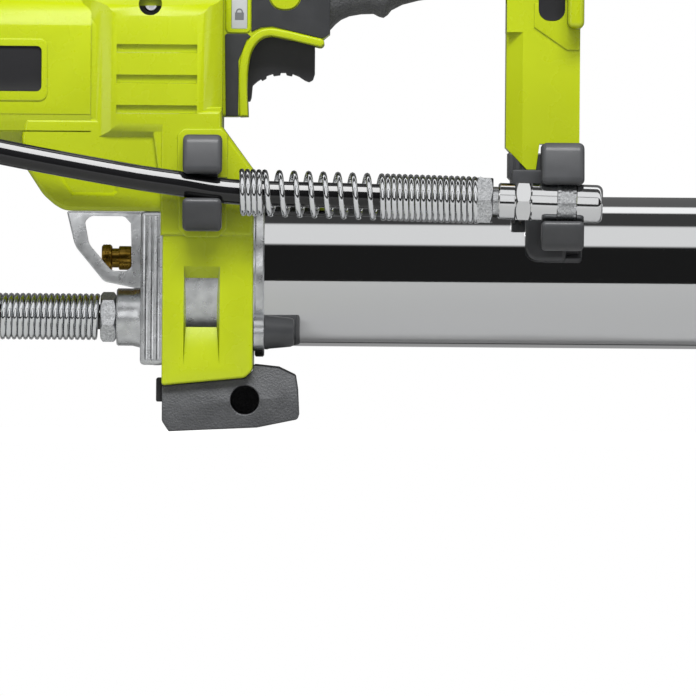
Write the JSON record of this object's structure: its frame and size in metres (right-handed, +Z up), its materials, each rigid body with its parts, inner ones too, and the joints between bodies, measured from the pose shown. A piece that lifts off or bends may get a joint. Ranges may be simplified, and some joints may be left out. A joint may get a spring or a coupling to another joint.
{
  "type": "grease gun",
  "caption": "Cordless cartridge grease gun with a D handle, chrome barrel, cast pump head and a whip hose clipped along one side.",
  "frame": {"origin": "centre of the barrel where it leaves the pump head", "axes": "+X back along the barrel, -Y the side with the hose, +Z up towards the handle"},
  "size_m": [0.6109, 0.09, 0.2075],
  "materials": {
    "lime_plastic": "satin",
    "grip_rubber": "matte",
    "clip_rubber": "matte",
    "icon_grey": "satin",
    "label_black": "gloss",
    "black_screws": "satin",
    "trigger_black": "satin",
    "spring_steel": "satin",
    "board_green": "gloss",
    "brass": "satin",
    "motor_steel": "satin",
    "gear_steel": "satin",
    "cast_metal": "matte",
    "chrome_barrel": "mirror",
    "zinc_steel": "satin",
    "chrome_fittings": "gloss",
    "seal_rubber": "matte",
    "hose_black": "gloss"
  },
  "bodies": {
    "gun": {"housing_near": "lime_plastic", "housing_far": "lime_plastic", "end_cap": "lime_plastic", "grip_near": "grip_rubber", "grip_far": "grip_rubber", "icon_plate": "icon_grey", "name_plates": "label_black", "badge_plates": "label_black", "housing_screws": "black_screws", "foot": "clip_rubber", "foot_tab": "clip_rubber", "foot_screws": "black_screws", "front_clip": "clip_rubber", "rear_clip": "clip_rubber", "trigger_spring": "spring_steel", "switch_body": "trigger_black", "circuit_board": "board_green", "battery_terminals": "brass", "motor_can": "motor_steel", "gearbox_case": "cast_metal", "ring_gear": "gear_steel", "crank_bearing": "brass", "plunger_gland": "brass", "pump_head": "cast_metal", "check_spring": "spring_steel", "filler_nipple": "zinc_steel", "hose": "hose_black", "guard_front": "spring_steel", "guard_rear": "spring_steel", "hose_nut_front": "zinc_steel", "hose_nut_rear": "zinc_steel", "coupler_body": "zinc_steel", "coupler_jaws": "chrome_fittings"},
    "motor_rotor": {"rotor": "motor_steel", "cooling_fan": "trigger_black", "motor_pinion": "gear_steel"},
    "carrier_1": {"stage1_carrier": "gear_steel"},
    "planet_1_1": {"stage1_planet_1": "gear_steel"},
    "planet_1_2": {"stage1_planet_2": "gear_steel"},
    "planet_1_3": {"stage1_planet_3": "gear_steel"},
    "crank": {"output_crank": "gear_steel"},
    "planet_2_1": {"stage2_planet_1": "gear_steel"},
    "planet_2_2": {"stage2_planet_2": "gear_steel"},
    "planet_2_3": {"stage2_planet_3": "gear_steel"},
    "plunger_slider": {"yoke": "gear_steel", "plunger": "gear_steel"},
    "check_valve": {"check_ball": "gear_steel"},
    "trigger_lever": {"trigger": "trigger_black"},
    "lock_slider": {"lock_button": "trigger_black"},
    "bleed_screw": {"bleed_valve": "brass"},
    "cap": {"filler_cap": "clip_rubber"},
    "barrel_slider": {"barrel_gasket": "seal_rubber"},
    "barrel": {"barrel_tube": "chrome_barrel", "barrel_cap": "chrome_fittings", "follower_spring": "spring_steel"},
    "follower": {"follower_cup": "seal_rubber"},
    "rod": {"follower_rod": "chrome_fittings"},
    "sleeve": {"coupler_sleeve": "chrome_fittings"}
  },
  "joints": [
    {"name": "motor_spin", "type": "hinge", "parent": "gun", "child": "motor_rotor", "pos_m": [-0.1, 0, 0.0755], "axis": [1, 0, 0], "continuous": true},
    {"name": "carrier_spin", "type": "hinge", "parent": "gun", "child": "carrier_1", "pos_m": [-0.06, 0, 0.0755], "axis": [1, 0, 0], "continuous": true},
    {"name": "crank_spin", "type": "hinge", "parent": "gun", "child": "crank", "pos_m": [-0.038, 0, 0.0755], "axis": [1, 0, 0], "continuous": true},
    {"name": "planet_1_1_spin", "type": "hinge", "parent": "carrier_1", "child": "planet_1_1", "pos_m": [-0.0675, 0.0135, 0.0755], "axis": [1, 0, 0], "continuous": true},
    {"name": "planet_1_2_spin", "type": "hinge", "parent": "carrier_1", "child": "planet_1_2", "pos_m": [-0.0675, -0.00675, 0.08719], "axis": [1, 0, 0], "continuous": true},
    {"name": "planet_1_3_spin", "type": "hinge", "parent": "carrier_1", "child": "planet_1_3", "pos_m": [-0.0675, -0.00675, 0.06381], "axis": [1, 0, 0], "continuous": true},
    {"name": "planet_2_1_spin", "type": "hinge", "parent": "crank", "child": "planet_2_1", "pos_m": [-0.0532, 0.0135, 0.0755], "axis": [1, 0, 0], "continuous": true},
    {"name": "planet_2_2_spin", "type": "hinge", "parent": "crank", "child": "planet_2_2", "pos_m": [-0.0532, -0.00675, 0.08719], "axis": [1, 0, 0], "continuous": true},
    {"name": "planet_2_3_spin", "type": "hinge", "parent": "crank", "child": "planet_2_3", "pos_m": [-0.0532, -0.00675, 0.06381], "axis": [1, 0, 0], "continuous": true},
    {"name": "plunger_stroke", "type": "slide", "parent": "gun", "child": "plunger_slider", "axis": [0, 0, 1], "range_m": [-0.005, 0.005]},
    {"name": "check_valve_lift", "type": "slide", "parent": "gun", "child": "check_valve", "axis": [-1, 0, 0], "range_m": [0, 0.0015], "stiffness_N_per_m": 200, "deforming": ["check_spring"]},
    {"name": "trigger_pull", "type": "slide", "parent": "gun", "child": "trigger_lever", "axis": [0, 0, 1], "range_m": [0, 0.008], "stiffness_N_per_m": 400, "springref_m": -0.004, "deforming": ["trigger_spring"]},
    {"name": "lock_slide", "type": "slide", "parent": "gun", "child": "lock_slider", "axis": [0, 1, 0], "range_m": [0, 0.005]},
    {"name": "bleed_turn", "type": "hinge", "parent": "gun", "child": "bleed_screw", "pos_m": [-0.055, 0.003, 0.0042], "axis": [-1, 0, 0], "range_deg": [0, 540]},
    {"name": "cap_pull", "type": "slide", "parent": "gun", "child": "cap", "axis": [1, 0, 0], "range_m": [0, 0.014]},
    {"name": "barrel_turn", "type": "hinge", "parent": "barrel_slider", "child": "barrel", "pos_m": [0.1, 0, 0], "axis": [1, 0, 0], "range_deg": [0, 2160]},
    {"name": "barrel_advance", "type": "slide", "parent": "gun", "child": "barrel_slider", "axis": [1, 0, 0], "range_m": [0, 0.012]},
    {"name": "follower_slide", "type": "slide", "parent": "barrel", "child": "follower", "axis": [1, 0, 0], "range_m": [0, 0.19], "deforming": ["follower_spring"]},
    {"name": "rod_pull", "type": "slide", "parent": "barrel", "child": "rod", "axis": [1, 0, 0], "range_m": [0, 0.19]},
    {"name": "sleeve_turn", "type": "hinge", "parent": "gun", "child": "sleeve", "pos_m": [0.11, -0.046, 0.02655], "axis": [0.9997, 0, -0.0255], "range_deg": [0, 720]}
  ],
  "couplings": [
    {"joint": "carrier_spin", "follows": "motor_spin", "ratio": 0.22222},
    {"joint": "crank_spin", "follows": "motor_spin", "ratio": 0.049383},
    {"joint": "planet_1_1_spin", "follows": "motor_spin", "ratio": -0.62222},
    {"joint": "planet_1_2_spin", "follows": "motor_spin", "ratio": -0.62222},
    {"joint": "planet_1_3_spin", "follows": "motor_spin", "ratio": -0.62222},
    {"joint": "planet_2_1_spin", "follows": "motor_spin", "ratio": -0.13827},
    {"joint": "planet_2_2_spin", "follows": "motor_spin", "ratio": -0.13827},
    {"joint": "planet_2_3_spin", "follows": "motor_spin", "ratio": -0.13827},
    {"joint": "barrel_advance", "follows": "barrel_turn", "m_per_rad": 0.00031831}
  ]
}
